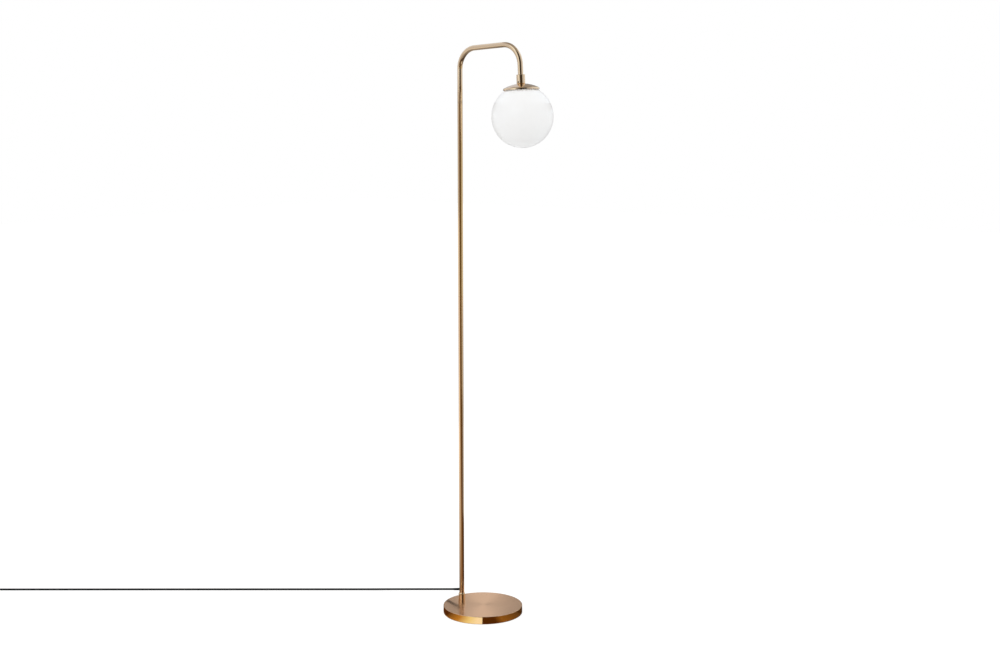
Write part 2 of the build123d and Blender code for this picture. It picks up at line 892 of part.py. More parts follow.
with BuildPart() as coil_tie:
    tie_inner_low = coil_low - cord_radius - tie_gap
    tie_inner_high = coil_high + cord_radius + tie_gap
    tie_middle = coil_inner_radius + coil_pitch
    tie_width_inside = coil_pitch + cord_diameter + 2 * tie_gap
    tie_place = Plane(
        origin=coil_frame.from_local_coords((tie_middle, 0, (tie_inner_low + tie_inner_high) / 2)),
        x_dir=coil_frame.x_dir,
        z_dir=-coil_frame.y_dir,
    )
    with BuildSketch(tie_place):
        height_inside = tie_inner_high - tie_inner_low
        RectangleRounded(
            tie_width_inside + 2 * tie_thickness,
            height_inside + 2 * tie_thickness,
            cord_radius + tie_thickness,
        )
        RectangleRounded(tie_width_inside, height_inside, cord_radius - tie_gap, mode=Mode.SUBTRACT)
    extrude(amount=tie_width / 2, both=True)
pieces["coil_tie"] = coil_tie

# ---------------------------------------------------------------- foot switch
switch_floor = pad_height
cavity_low = switch_floor + switch_wall
cavity_high = switch_top - switch_wall
cavity_size = (switch_length - 2 * switch_wall, switch_width - 2 * switch_wall)
switch_ends = [
    Plane(
        origin=floor_run.from_local_coords((along, 0, switch_cord_height)),
        x_dir=floor_run.y_dir,
        z_dir=floor_run.x_dir * side,
    )
    for along, side in ((switch_start, -1), (switch_end, 1))
]
post_radius = screw_radius + switch_wall
screw_spots = [(0, screw_offset), (0, -screw_offset)]

with BuildPart() as switch_pads:
    with BuildSketch(switch_frame):
        with GridLocations(*pad_spacing, 2, 2):
            Circle(pad_radius)
    extrude(amount=pad_height)
pieces["switch_pads"] = switch_pads

with BuildPart() as switch_base:
    with BuildSketch(switch_frame.offset(switch_floor)):
        RectangleRounded(switch_length, switch_width, switch_corner)
    extrude(amount=switch_split - switch_floor)
    with BuildSketch(switch_frame.offset(cavity_low)):
        RectangleRounded(*cavity_size, switch_corner - switch_wall)
        with Locations(*screw_spots):
            Circle(post_radius, mode=Mode.SUBTRACT)
    extrude(amount=switch_split - cavity_low, mode=Mode.SUBTRACT)
    with BuildSketch(switch_frame.offset(switch_floor)):
        with Locations(*screw_spots):
            Circle(screw_radius + slide_gap)
    extrude(amount=switch_split - switch_floor, mode=Mode.SUBTRACT)
    with BuildSketch(switch_frame.offset(switch_floor)):
        with Locations(*screw_spots):
            Circle(screw_head_radius + slide_gap)
    extrude(amount=screw_head_height, mode=Mode.SUBTRACT)
    for end in switch_ends:
        with BuildSketch(end):
            Circle(cord_radius + cord_gap)
        extrude(amount=-switch_wall, mode=Mode.SUBTRACT)
pieces["switch_base"] = switch_base

with BuildPart() as switch_cover:
    with BuildSketch(switch_frame.offset(switch_split)):
        RectangleRounded(switch_length, switch_width, switch_corner)
    extrude(amount=switch_top - switch_split)
    fillet(switch_cover.faces().sort_by(Axis.Z)[-1].edges(), switch_top_edge)
    with BuildSketch(switch_frame.offset(switch_split)):
        RectangleRounded(*cavity_size, switch_corner - switch_wall)
        with Locations(*screw_spots):
            Circle(post_radius, mode=Mode.SUBTRACT)
    extrude(amount=cavity_high - switch_split, mode=Mode.SUBTRACT)
    with BuildSketch(switch_frame.offset(switch_split)):
        with Locations(*screw_spots):
            Circle(screw_radius + thread_gap)
    extrude(amount=cavity_high - switch_split - switch_wall, mode=Mode.SUBTRACT)
    with BuildSketch(switch_frame.offset(cavity_high)):
        Circle(button_radius + button_gap)
    extrude(amount=switch_wall, mode=Mode.SUBTRACT)
pieces["switch_cover"] = switch_cover

with BuildPart() as switch_screws:
    with BuildSketch(switch_frame.offset(switch_floor)):
        with Locations(*screw_spots):
            Circle(screw_head_radius)
    extrude(amount=screw_head_height)
    with BuildSketch(switch_frame.offset(switch_floor)):
        with Locations(*screw_spots):
            Circle(screw_radius)
    extrude(amount=screw_length)
pieces["switch_screws"] = switch_screws

flange_top = cavity_high - button_rest_gap
flange_bottom = flange_top - button_flange_height
with BuildPart() as switch_button:
    with BuildSketch(switch_frame.offset(flange_bottom)):
        Circle(button_radius + button_flange)
    extrude(amount=button_flange_height)
    with BuildSketch(switch_frame.offset(flange_top)):
        Circle(button_radius)
    extrude(amount=switch_top + button_rise - flange_top)
    fillet(switch_button.faces().sort_by(Axis.Z)[-1].edges(), button_edge)
pieces["switch_button"] = switch_button

block_top = cavity_low + block_height
with BuildPart() as switch_block:
    with BuildSketch(switch_frame.offset(cavity_low)):
        Rectangle(block_length, block_width)
    extrude(amount=block_height)
    chamfer(switch_block.edges().filter_by(Axis.Z), block_chamfer)
pieces["switch_block"] = switch_block

with BuildPart() as switch_leads:
    for end in switch_ends:
        with BuildSketch(end):
            Circle(cord_radius)
        extrude(amount=-(switch_length - block_length) / 2)
pieces["switch_leads"] = switch_leads

spring_low = block_top + switch_spring_wire / 2 + button_rest_gap
spring_high = flange_bottom - switch_spring_wire / 2 - button_rest_gap


def spring_radius(turned):
    """The switch spring's radius, the same all along."""
    return switch_spring_radius


def spring_height(turned):
    """The switch spring's height after so many turns."""
    return spring_low + (spring_high - spring_low) * turned / switch_spring_turns


with BuildPart() as switch_spring:
    with BuildLine() as spring_path:
        wound = stations(switch_frame, spring_radius, spring_height, 0, switch_spring_turns)
        for here, there in zip(wound, wound[1:]):
            biarc(*here, *there)
    spring_wire = spring_path.wire()
    with BuildSketch(Plane(origin=spring_wire @ 0, z_dir=spring_wire % 0)):
        Circle(switch_spring_wire / 2)
    sweep(path=spring_wire)
    print(f"switch_spring: least gap to itself {least_gap(spring_wire, switch_spring_wire):.2f} mm")
pieces["switch_spring"] = switch_spring


def relief(plane, root_radius, tip_radius, length):
    """A tapered moulded strain relief that stands on a plane."""
    with BuildPart() as moulded:
        with BuildSketch(plane):
            Circle(root_radius)
        with BuildSketch(plane.offset(length)):
            Circle(tip_radius)
        loft()
    return moulded


plug_rear = Plane(
    origin=floor_run.from_local_coords((plug_body_start, plug_line, plug_axis)),
    x_dir=floor_run.y_dir,
    z_dir=floor_run.x_dir,
)
reliefs = {
    "switch_relief_in": switch_ends[0],
    "switch_relief_out": switch_ends[1],
    "plug_relief": plug_rear,
}
for name, root in reliefs.items():
    pieces[name] = relief(root, relief_root_radius, relief_tip_radius, relief_length)

# ---------------------------------------------------------------- plug
plug_front = plug_rear.offset(-plug_length)
with BuildPart() as plug_body:
    with BuildSketch(plug_front):
        RectangleRounded(plug_width, plug_thickness, plug_corner)
    with BuildSketch(plug_front.offset(plug_shoulder)):
        RectangleRounded(plug_width, plug_thickness, plug_corner)
    with BuildSketch(plug_front.offset(plug_length)):
        RectangleRounded(*plug_back, plug_back_corner)
    loft(ruled=True)
    with BuildSketch(plug_front):
        with GridLocations(pin_spacing, 0, 2, 1):
            Circle(pin_core_radius + thread_gap)
    extrude(amount=pin_root, mode=Mode.SUBTRACT)
pieces["plug_body"] = plug_body

sleeve_end = plug_front.offset(-pin_sleeve_length)
with BuildPart() as plug_pins:
    with BuildSketch(sleeve_end):
        with GridLocations(pin_spacing, 0, 2, 1):
            Circle(pin_radius)
    extrude(amount=-(pin_length - pin_sleeve_length))
    pin_way = Axis(sleeve_end.origin, sleeve_end.z_dir)
    fillet(plug_pins.edges().filter_by(GeomType.CIRCLE).group_by(pin_way)[0], pin_tip_round)
    with BuildSketch(sleeve_end):
        with GridLocations(pin_spacing, 0, 2, 1):
            Circle(pin_core_radius)
    extrude(amount=pin_sleeve_length + pin_root)
pieces["plug_pins"] = plug_pins

with BuildPart() as pin_sleeves:
    with BuildSketch(plug_front):
        with GridLocations(pin_spacing, 0, 2, 1):
            Circle(pin_radius)
            Circle(pin_core_radius + thread_gap, mode=Mode.SUBTRACT)
    extrude(amount=-pin_sleeve_length)
pieces["pin_sleeves"] = pin_sleeves

# ---------------------------------------------------------------- files
os.makedirs("parts", exist_ok=True)
for name, piece in pieces.items():
    piece.part.label = name
    export_step(piece.part, f"parts/{name}.step")
print(len(pieces), "nodes written")
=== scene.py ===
import bpy
import json
from math import cos, pi, radians, sin
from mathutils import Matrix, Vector


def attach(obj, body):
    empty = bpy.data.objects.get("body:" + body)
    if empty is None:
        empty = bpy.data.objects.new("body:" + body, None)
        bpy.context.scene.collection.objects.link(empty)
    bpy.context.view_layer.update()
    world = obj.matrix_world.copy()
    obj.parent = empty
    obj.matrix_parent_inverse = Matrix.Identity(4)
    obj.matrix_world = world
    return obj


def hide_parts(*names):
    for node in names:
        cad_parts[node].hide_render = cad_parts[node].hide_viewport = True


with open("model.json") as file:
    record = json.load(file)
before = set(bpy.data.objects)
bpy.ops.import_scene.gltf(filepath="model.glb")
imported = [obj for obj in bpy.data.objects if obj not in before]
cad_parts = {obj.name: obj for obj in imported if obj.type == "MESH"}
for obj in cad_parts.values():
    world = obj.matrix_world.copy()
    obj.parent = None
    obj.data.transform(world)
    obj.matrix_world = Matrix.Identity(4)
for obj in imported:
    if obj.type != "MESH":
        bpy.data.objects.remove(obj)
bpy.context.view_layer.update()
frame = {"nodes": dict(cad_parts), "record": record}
nodes = frame["nodes"]

# The globe lamp's places, in metres, in the frame's own axes: +Z up, +X along the arm.
POLE_X = -0.072
CORD_RADIUS = 0.0025
CORD_DIAMETER = 2 * CORD_RADIUS

# ---------------------------------------------------------------- camera
CAMERA_AZIMUTH = radians(40.45)
CAMERA_DISTANCE = 3.922
CAMERA_HEIGHT = 1.311
CAMERA_PITCH = radians(8.484)
CAMERA_YAW = radians(0.6455)
FOCAL_PIXELS = 1577.2
IMAGE_WIDTH = 1000
SENSOR_WIDTH = 36.0


def make_camera():
    """The photograph's camera: a pinhole with its eye a little under the lamp's top."""
    data = bpy.data.cameras.new("camera")
    data.sensor_width = SENSOR_WIDTH
    data.lens = FOCAL_PIXELS * SENSOR_WIDTH / IMAGE_WIDTH
    data.clip_end = 50
    camera = bpy.data.objects.new("camera", data)
    bpy.context.scene.collection.objects.link(camera)
    camera.location = (
        sin(CAMERA_AZIMUTH) * CAMERA_DISTANCE,
        -cos(CAMERA_AZIMUTH) * CAMERA_DISTANCE,
        CAMERA_HEIGHT,
    )
    camera.rotation_euler = (pi / 2 - CAMERA_PITCH, 0, CAMERA_AZIMUTH - CAMERA_YAW)
    bpy.context.scene.camera = camera


# ---------------------------------------------------------------- cord route
EXIT_DROOP = radians(11.6)
EXIT_CORNER = Vector((POLE_X, 0, 0.0456))
EXIT_WAY = Vector((-cos(EXIT_DROOP), 0, -sin(EXIT_DROOP)))
BOOT_TIP = 0.0065 / cos(EXIT_DROOP) + 0.021
LANDING = Vector((-0.353, -0.060, 0))
RUN_HEADING = radians(39.9)

SWITCH_TIP = 1.024
SWITCH_START = SWITCH_TIP + 0.018
SWITCH_END = SWITCH_START + 0.058
TAIL_START = SWITCH_END + 0.018
COIL_START = TAIL_START + 0.030
SWITCH_CORD_HEIGHT = 0.0054

COIL_TURNS = 3.5
COIL_INNER_RADIUS = 0.021
COIL_PITCH = 0.0055
COIL_OUTER_RADIUS = COIL_INNER_RADIUS + COIL_PITCH * COIL_TURNS / 2
COIL_LOW = 0.0009 + CORD_RADIUS
COIL_HIGH = COIL_LOW + COIL_PITCH
COIL_POINTS_A_TURN = 16
PLUG_LINE = 2 * COIL_OUTER_RADIUS
PLUG_AXIS = 0.0068
PLUG_TIP = COIL_START - 0.024


def floor_run(along, across, height):
    """A place along the cord's straight stretch: along it, across it towards the camera, and up."""
    ahead = Vector((-cos(RUN_HEADING), -sin(RUN_HEADING), 0))
    aside = Vector((sin(RUN_HEADING), -cos(RUN_HEADING), 0))
    return LANDING + ahead * along + aside * across + Vector((0, 0, height))


def run_points():
    """The cord's route from the pole to the foot switch."""
    boot_end = EXIT_CORNER + EXIT_WAY * BOOT_TIP
    return [
        boot_end,
        boot_end + EXIT_WAY * 0.035,
        Vector((-0.1915, -0.003, 0.0218)),
        Vector((-0.2485, -0.013, 0.0126)),
        Vector((-0.303, -0.033, 0.0063)),
        floor_run(0, 0, CORD_RADIUS),
        floor_run(0.057, 0, CORD_RADIUS),
        floor_run(0.979, 0, CORD_RADIUS),
        floor_run(0.996, 0, CORD_RADIUS),
        floor_run(1.013, 0, SWITCH_CORD_HEIGHT),
        floor_run(SWITCH_TIP, 0, SWITCH_CORD_HEIGHT),
    ]


def coil_point(turned):
    """A place in the put-away coil after so many turns: steadily in and out, climbing as it reverses."""
    radius = COIL_INNER_RADIUS + COIL_PITCH * abs(turned - COIL_TURNS / 2)
    climbed = min(max(2 * turned - COIL_TURNS + 0.5, 0), 1)
    angle = -pi / 2 + 2 * pi * turned
    return floor_run(
        COIL_START + CORD_DIAMETER + radius * cos(angle),
        COIL_OUTER_RADIUS + radius * sin(angle),
        COIL_LOW + (COIL_HIGH - COIL_LOW) * climbed,
    )


def tail_points():
    """The cord's route from the foot switch through the coil to the plug."""
    before = [
        floor_run(TAIL_START, 0, SWITCH_CORD_HEIGHT),
        floor_run(TAIL_START + 0.009, 0, SWITCH_CORD_HEIGHT),
        floor_run(COIL_START - 0.009, 0, COIL_LOW),
        floor_run(COIL_START, 0, COIL_LOW),
    ]
    steps = int(COIL_TURNS * COIL_POINTS_A_TURN)
    turns = [coil_point(step / COIL_POINTS_A_TURN) for step in range(steps + 1)]
    after = [
        floor_run(COIL_START, PLUG_LINE, COIL_HIGH),
        floor_run(COIL_START - 0.007, PLUG_LINE, COIL_HIGH),
        floor_run(PLUG_TIP + 0.007, PLUG_LINE, PLUG_AXIS),
        floor_run(PLUG_TIP, PLUG_LINE, PLUG_AXIS),
    ]
    return before + turns + after


def cord_curve(name, points):
    """A round cord on one smooth line, whose control points are the route's."""
    data = bpy.data.curves.new(name, "CURVE")
    data.dimensions = "3D"
    data.bevel_depth = CORD_RADIUS
    data.bevel_resolution = 5
    data.resolution_u = 8
    spline = data.splines.new("NURBS")
    spline.points.add(len(points) - 1)
    for control, place in zip(spline.points, points):
        control.co = (*place, 1)
    spline.order_u = 3
    spline.use_endpoint_u = True
    cord = bpy.data.objects.new(name, data)
    bpy.context.scene.collection.objects.link(cord)
    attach(cord, "stand")
    return cord


def make_cords():
    """Both stretches of the cord: from the pole to the foot switch, and on to the plug."""
    run = cord_curve("cord_to_switch", run_points())
    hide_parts("cord_run")
    tail = cord_curve("cord_to_plug", tail_points())
    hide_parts("cord_tail", "cord_coil", "plug_lead")
    return run, tail


# ---------------------------------------------------------------- materials
# The places of a Mix node's colour sockets, whose names its other kinds of value share.
COLOUR_A = 6
COLOUR_B = 7
COLOUR_RESULT = 2


class Surface:
    """One node-built material: a Principled shader with helpers for the detail on it."""

    def __init__(self, name, colour, roughness, metallic=0.0, coat=0.0):
        self.material = bpy.data.materials.new(name)
        self.material.use_nodes = True
        self.tree = self.material.node_tree
        self.shader = self.tree.nodes["Principled BSDF"]
        self.shader.inputs["Base Color"].default_value = (*colour, 1)
        self.shader.inputs["Roughness"].default_value = roughness
        self.shader.inputs["Metallic"].default_value = metallic
        self.shader.inputs["Coat Weight"].default_value = coat
        self.colour = colour
        self.roughness = roughness
        self.place = self.tree.nodes.new("ShaderNodeTexCoord").outputs["Object"]

    def join(self, source, target):
        """Links one socket to another."""
        self.tree.links.new(source, target)

    def noise(self, scale, detail=4.0, stretch=(1, 1, 1), place=None):
        """A noise over the surface, scaled along each axis."""
        mapping = self.tree.nodes.new("ShaderNodeMapping")
        mapping.inputs["Scale"].default_value = stretch
        self.join(place or self.place, mapping.inputs["Vector"])
        noise = self.tree.nodes.new("ShaderNodeTexNoise")
        noise.inputs["Scale"].default_value = scale
        noise.inputs["Detail"].default_value = detail
        self.join(mapping.outputs["Vector"], noise.inputs["Vector"])
        return noise.outputs["Fac"]

    def spread(self, value, low, high, start=0.3, end=0.7):
        """Maps a value from a span to another."""
        ramp = self.tree.nodes.new("ShaderNodeMapRange")
        ramp.inputs["From Min"].default_value = start
        ramp.inputs["From Max"].default_value = end
        ramp.inputs["To Min"].default_value = low
        ramp.inputs["To Max"].default_value = high
        self.join(value, ramp.inputs["Value"])
        return ramp.outputs["Result"]

    def blend(self, share, colour, other):
        """A colour that goes from one to another with a share."""
        mix = self.tree.nodes.new("ShaderNodeMix")
        mix.data_type = "RGBA"
        mix.inputs[COLOUR_A].default_value = (*colour, 1)
        mix.inputs[COLOUR_B].default_value = (*other, 1)
        self.join(share, mix.inputs["Factor"])
        return mix.outputs[COLOUR_RESULT]

    def vary_colour(self, value, other, most=1.0):
        """Blends the colour towards another with a value."""
        mixed = self.blend(self.spread(value, 0.0, most), self.colour, other)
        self.join(mixed, self.shader.inputs["Base Color"])

    def vary_roughness(self, value, change):
        """Varies the roughness about its mean with a value."""
        varied = self.spread(value, self.roughness - change, self.roughness + change)
        self.join(varied, self.shader.inputs["Roughness"])

    def bump(self, value, height):
        """Raises the surface by a value, up to a height in metres."""
        bump = self.tree.nodes.new("ShaderNodeBump")
        bump.inputs["Distance"].default_value = height
        self.join(value, bump.inputs["Height"])
        self.join(bump.outputs["Normal"], self.shader.inputs["Normal"])


BRASS = (0.80, 0.59, 0.37)
BRASS_WORN = (0.72, 0.50, 0.28)
COPPERY_BRASS = (0.80, 0.56, 0.36)
SPUN_BRASS = (0.83, 0.51, 0.30)
SPUN_BRASS_DULL = (0.75, 0.45, 0.26)
BASE_EDGE_HEIGHT = 0.0189
BASE_EDGE_BLEND = 0.0004
POLISHED_ROUGHNESS = 0.11
SPUN_ROUGHNESS = 0.22
SPUN_STRETCH = 0.75
SPUN_RINGS_A_METRE = 1600


def polished_brass(name, colour):
    """Polished, lacquered brass with faint patches and fine scratches."""
    surface = Surface(name, colour, POLISHED_ROUGHNESS, metallic=1.0)
    surface.vary_colour(surface.noise(9.0), BRASS_WORN, 0.3)
    surface.vary_roughness(surface.noise(60.0), 0.02)
    surface.bump(surface.noise(900.0, stretch=(1, 1, 0.08)), 0.000003)
    return surface.material


def base_brass():
    """The base cover's brass: a polished side, and a top spun on a lathe with rings of brush marks."""
    surface = Surface("base_brass", BRASS, POLISHED_ROUGHNESS, metallic=1.0)
    flat = surface.tree.nodes.new("ShaderNodeVectorMath")
    flat.operation = "MULTIPLY"
    flat.inputs[1].default_value = (1, 1, 0)
    surface.join(surface.place, flat.inputs[0])
    reach = surface.tree.nodes.new("ShaderNodeVectorMath")
    reach.operation = "LENGTH"
    surface.join(flat.outputs["Vector"], reach.inputs[0])
    rings = surface.tree.nodes.new("ShaderNodeTexNoise")
    rings.noise_dimensions = "1D"
    rings.inputs["Scale"].default_value = SPUN_RINGS_A_METRE
    rings.inputs["Detail"].default_value = 3
    surface.join(reach.outputs["Value"], rings.inputs["W"])
    height = surface.tree.nodes.new("ShaderNodeSeparateXYZ")
    surface.join(surface.place, height.inputs[0])
    top_start = BASE_EDGE_HEIGHT + BASE_EDGE_BLEND
    on_top = surface.spread(height.outputs["Z"], 0.0, 1.0, BASE_EDGE_HEIGHT, top_start)
    spun = surface.blend(surface.spread(rings.outputs["Fac"], 0.0, 1.0), SPUN_BRASS, SPUN_BRASS_DULL)
    colour = surface.blend(on_top, BRASS, BRASS)
    surface.join(spun, colour.node.inputs[COLOUR_B])
    surface.join(colour, surface.shader.inputs["Base Color"])
    roughness = surface.spread(on_top, POLISHED_ROUGHNESS, SPUN_ROUGHNESS, 0.0, 1.0)
    surface.join(roughness, surface.shader.inputs["Roughness"])
    surface.bump(rings.outputs["Fac"], 0.000004)
    surface.shader.inputs["Anisotropic"].default_value = SPUN_STRETCH
    surface.shader.inputs["Anisotropic Rotation"].default_value = 0.25
    tangent = surface.tree.nodes.new("ShaderNodeTangent")
    tangent.direction_type = "RADIAL"
    tangent.axis = "Z"
    surface.join(tangent.outputs["Tangent"], surface.shader.inputs["Tangent"])
    return surface.material


def opal_glass():
    """White opal glass with a satin skin."""
    surface = Surface("opal_glass", (0.95, 0.95, 0.945), 0.32, coat=0.1)
    surface.shader.inputs["Specular IOR Level"].default_value = 0.25
    surface.vary_colour(surface.noise(14.0), (0.93, 0.93, 0.92), 0.6)
    surface.shader.inputs["Subsurface Weight"].default_value = 0.25
    surface.shader.inputs["Subsurface Radius"].default_value = (0.01, 0.01, 0.01)
    surface.shader.inputs["Coat Roughness"].default_value = 0.25
    surface.bump(surface.noise(35.0), 0.00002)
    return surface.material


def plain(name, colour, roughness, metallic=0.0, grain=400.0, relief=0.00001, coat=0.0, gloss=0.5):
    """A plain finish with a fine grain: moulded plastic, rubber, cast or plated metal."""
    surface = Surface(name, colour, roughness, metallic, coat)
    surface.shader.inputs["Specular IOR Level"].default_value = gloss
    grains = surface.noise(grain)
    surface.vary_colour(surface.noise(grain / 20), tuple(0.8 * part for part in colour), 0.6)
    surface.vary_roughness(grains, 0.05)
    surface.bump(grains, relief)
    return surface.material


FINISHES = {
    "cast_iron": plain("cast_iron", (0.10, 0.10, 0.105), 0.6, 0.8, grain=500, relief=0.0001),
    "pad_foam": plain("pad_foam", (0.02, 0.02, 0.02), 0.9, grain=1500, relief=0.00008),
    "zinc_steel": plain("zinc_steel", (0.62, 0.62, 0.60), 0.3, 1.0),
    "black_steel": plain("black_steel", (0.03, 0.03, 0.03), 0.35, 1.0),
    "white_silicone": plain("white_silicone", (0.85, 0.85, 0.82), 0.55),
    "holder_plastic": plain("holder_plastic", (0.02, 0.02, 0.02), 0.4, grain=900),
    "porcelain": plain("porcelain", (0.85, 0.83, 0.78), 0.15, coat=0.5),
    "contact_brass": plain("contact_brass", (0.78, 0.57, 0.27), 0.28, 1.0),
    "nickel": plain("nickel", (0.70, 0.69, 0.66), 0.22, 1.0),
    "lamp_black_glass": plain("lamp_black_glass", (0.01, 0.01, 0.012), 0.1, coat=0.5),
    "bulb_plastic": plain("bulb_plastic", (0.86, 0.86, 0.85), 0.35),
    "board": plain("board", (0.85, 0.84, 0.78), 0.5),
    "bulb_frosted": plain("bulb_frosted", (0.90, 0.90, 0.89), 0.45, grain=200),
    "cord_rubber": plain("cord_rubber", (0.005, 0.005, 0.005), 0.85, grain=1200, relief=0.00002, gloss=0.05),
    "tie_plastic": plain("tie_plastic", (0.015, 0.015, 0.015), 0.4),
    "black_plastic": plain("black_plastic", (0.014, 0.014, 0.014), 0.45, grain=2200, relief=0.00003),
    "opal_glass": opal_glass(),
    "warm_brass": polished_brass("polished_brass", BRASS),
}
NODE_FINISHES = {
    "base_cover": base_brass(),
    "lower_tube": polished_brass("coppery_brass", COPPERY_BRASS),
}


def dress(piece, material):
    """Gives a piece one material and smooth shading with its sharp edges kept."""
    piece.data.materials.clear()
    piece.data.materials.append(material)
    if piece.type == "MESH":
        piece.data.shade_smooth()
        piece.data.set_sharp_from_angle(angle=radians(32))


# ---------------------------------------------------------------- studio
SOFT_LIGHT = 0.97
FLOOR_ALBEDO = 0.86
FLOOR_GLOW = 0.80
FLOOR_SHADE = 0.28


def seen_directly(tree):
    """1 for what the eye sees straight, mirrored or through glass, and 0 for light alone."""
    path = tree.nodes.new("ShaderNodeLightPath")
    seen = tree.nodes.new("ShaderNodeMath")
    seen.operation = "MAXIMUM"
    tree.links.new(path.outputs["Is Camera Ray"], seen.inputs[0])
    tree.links.new(path.outputs["Is Glossy Ray"], seen.inputs[1])
    seen_too = tree.nodes.new("ShaderNodeMath")
    seen_too.operation = "MAXIMUM"
    tree.links.new(seen.outputs[0], seen_too.inputs[0])
    tree.links.new(path.outputs["Is Transmission Ray"], seen_too.inputs[1])
    return seen_too.outputs[0]


def make_world():
    """A white surround for the eye and for reflections, and a soft even light for the rest."""
    world = bpy.data.worlds.new("studio")
    bpy.context.scene.world = world
    world.use_nodes = True
    tree = world.node_tree
    tree.nodes.clear()
    soft = tree.nodes.new("ShaderNodeBackground")
    soft.inputs["Strength"].default_value = SOFT_LIGHT
    white = tree.nodes.new("ShaderNodeBackground")
    white.inputs["Strength"].default_value = 1.0
    for background in (soft, white):
        background.inputs["Color"].default_value = (1, 1, 1, 1)
    mix = tree.nodes.new("ShaderNodeMixShader")
    tree.links.new(seen_directly(tree), mix.inputs["Fac"])
    tree.links.new(soft.outputs[0], mix.inputs[1])
    tree.links.new(white.outputs[0], mix.inputs[2])
    out = tree.nodes.new("ShaderNodeOutputWorld")
    tree.links.new(mix.outputs[0], out.inputs["Surface"])


def plate(name, corners):
    """A flat stage panel through corners."""
    mesh = bpy.data.meshes.new(name)
    mesh.from_pydata(corners, [], [tuple(range(len(corners)))])
    panel = bpy.data.objects.new(name, mesh)
    bpy.context.scene.collection.objects.link(panel)
    return panel


def make_floor():
    """A pale floor that looks white where it is lit and keeps the object's shadow."""
    reach = 12.0
    floor = plate("floor", [(-reach, -reach, 0), (reach, -reach, 0), (reach, reach, 0), (-reach, reach, 0)])
    material = bpy.data.materials.new("floor")
    material.use_nodes = True
    tree = material.node_tree
    tree.nodes.clear()
    pale = tree.nodes.new("ShaderNodeBsdfDiffuse")
    pale.inputs["Color"].default_value = (FLOOR_ALBEDO, FLOOR_ALBEDO, FLOOR_ALBEDO, 1)
    shadowed = tree.nodes.new("ShaderNodeBsdfDiffuse")
    shadowed.inputs["Color"].default_value = (FLOOR_SHADE, FLOOR_SHADE, FLOOR_SHADE, 1)
    glow = tree.nodes.new("ShaderNodeEmission")
    glow.inputs["Strength"].default_value = FLOOR_GLOW
    both = tree.nodes.new("ShaderNodeAddShader")
    tree.links.new(shadowed.outputs[0], both.inputs[0])
    tree.links.new(glow.outputs[0], both.inputs[1])
    mix = tree.nodes.new("ShaderNodeMixShader")
    tree.links.new(seen_directly(tree), mix.inputs["Fac"])
    tree.links.new(pale.outputs[0], mix.inputs[1])
    tree.links.new(both.outputs[0], mix.inputs[2])
    out = tree.nodes.new("ShaderNodeOutputMaterial")
    tree.links.new(mix.outputs[0], out.inputs["Surface"])
    floor.data.materials.append(material)


def from_camera(angle, distance, height):
    """A place about the lamp at an angle from the camera's side, positive to the picture's right."""
    around = CAMERA_AZIMUTH + angle
    return Vector((sin(around) * distance, -cos(around) * distance, height))


def softbox(name, place, target, size, power):
    """A square lamp that faces a target."""
    data = bpy.data.lights.new(name, "AREA")
    data.size = size
    data.energy = power
    lamp = bpy.data.objects.new(name, data)
    lamp.location = place
    lamp.rotation_euler = (Vector(target) - place).to_track_quat("-Z", "Y").to_euler()
    bpy.context.scene.collection.objects.link(lamp)


def make_lamps():
    """A broad lamp overhead and one at each side of the camera, all weak beside the soft light."""
    softbox("overhead", Vector((0.3, -0.2, 4.2)), (0, 0, 0.6), 3.0, 5)
    softbox("left", from_camera(radians(-50), 3.2, 2.2), (0, 0, 0.9), 1.6, 6)
    softbox("right", from_camera(radians(65), 3.4, 2.0), (0, 0, 0.9), 1.4, 4)


# What polished metal mirrors, as colours beside white: each card glows for reflections alone.
WHITE = (1.0, 1.0, 1.0)
SOOT = (0.04, 0.03, 0.02)
ASH = (0.10, 0.08, 0.07)
OLIVE_CLOTH = (0.13, 0.08, 0.015)
BROWN_CLOTH = (0.22, 0.15, 0.08)
BACK_CLOTH = (0.34, 0.34, 0.34)
DIM_WALL = (0.36, 0.36, 0.38)
SLATE_WALL = (0.46, 0.50, 0.56)
GREY_WALL = (0.66, 0.68, 0.74)
PALE_WALL = (0.62, 0.61, 0.50)
DOVE_WALL = (0.72, 0.77, 0.92)
BRIGHT_BOX = (1.10, 1.22, 1.35)
BACK_BOX = (0.85, 0.84, 0.82)
SHADED_FLOOR = (0.22, 0.19, 0.16)
PALE_FLOOR = (0.68, 0.68, 0.68)
BROWN_FLOOR = (0.31, 0.18, 0.09)
TAN_FLOOR = (0.58, 0.48, 0.36)
FAR_FLOOR = (0.32, 0.24, 0.13)
OLIVE_FLOOR = (0.12, 0.055, 0.012)
BLACK_FLOOR = (0.08, 0.035, 0.008)
RED_EDGE = (0.10, 0.03, 0.005)
ORANGE_EDGE = (0.61, 0.30, 0.05)
GOLD_EDGE = (1.08, 0.96, 0.48)
CREAM_EDGE = (1.22, 1.15, 0.90)
UMBER_EDGE = (0.10, 0.03, 0.002)
TAN_EDGE = (0.32, 0.14, 0.02)
DUSK_EDGE = (0.12, 0.06, 0.02)
ARC_STEP = 4

# Where the cards stand: distances from the lamp, and heights of their edges.
FAR = 6.0
EYE_TOP = 1.6
OVER_TOP = 5.6
BACK = 2.4
BACK_TOP = 2.0
HEAD = 1.4
HEAD_LOW = 1.34
CEILING = 3.2
LEFT = 1.6
LEFT_LOW = 0.9
FLOOR_INNER = 0.10
FLOOR_LIFT = 0.0004
EDGE_INNER = 0.1025
EDGE_OUTER = 0.17
EDGE_LIFT = 0.0008
ARM_MIDDLE = 0.02
ARM_REACH = 0.26
ARM_CARD = 1.30


